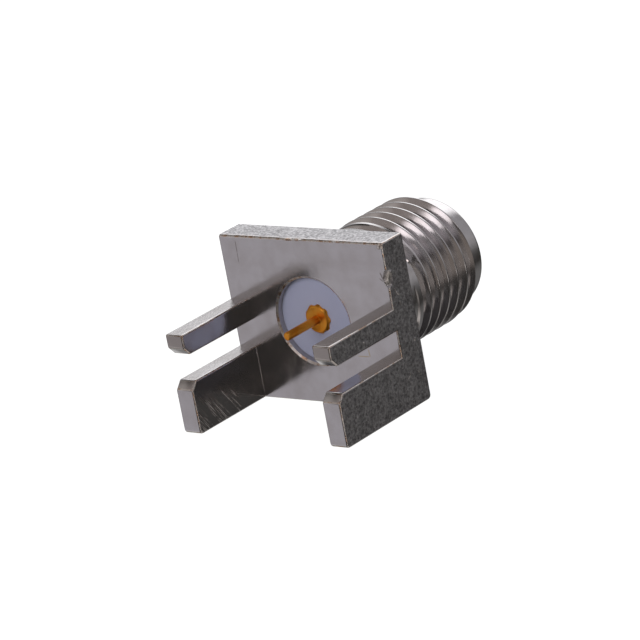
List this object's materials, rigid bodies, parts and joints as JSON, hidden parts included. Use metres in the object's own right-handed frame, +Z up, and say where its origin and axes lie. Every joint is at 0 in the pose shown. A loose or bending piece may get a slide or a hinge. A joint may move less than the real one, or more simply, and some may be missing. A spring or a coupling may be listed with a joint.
{
  "type": "edge-mount sma jack connector",
  "caption": "Threaded coaxial jack that clips over the edge of a circuit board with four legs, with an insulator and a slotted centre contact inside.",
  "frame": {"origin": "on the barrel's axis, at the flange's rear face, where the edge of the circuit board stops", "axes": "+Y along the barrel's axis, towards the mating end; +Z up, square to the board's upper face; +X to the right, along the flange's width"},
  "size_m": [0.0096, 0.0142, 0.008],
  "materials": {
    "nickel_plate": "machined brass with bright nickel plating: semi-gloss faces, granular sawn sides",
    "ptfe": "white PTFE, smooth and waxy",
    "gold_plate": "copper alloy with gold plating, satin"
  },
  "bodies": {
    "root": {"connector_body": "nickel_plate", "insulator": "ptfe", "centre_contact": "gold_plate"}
  },
  "joints": []
}
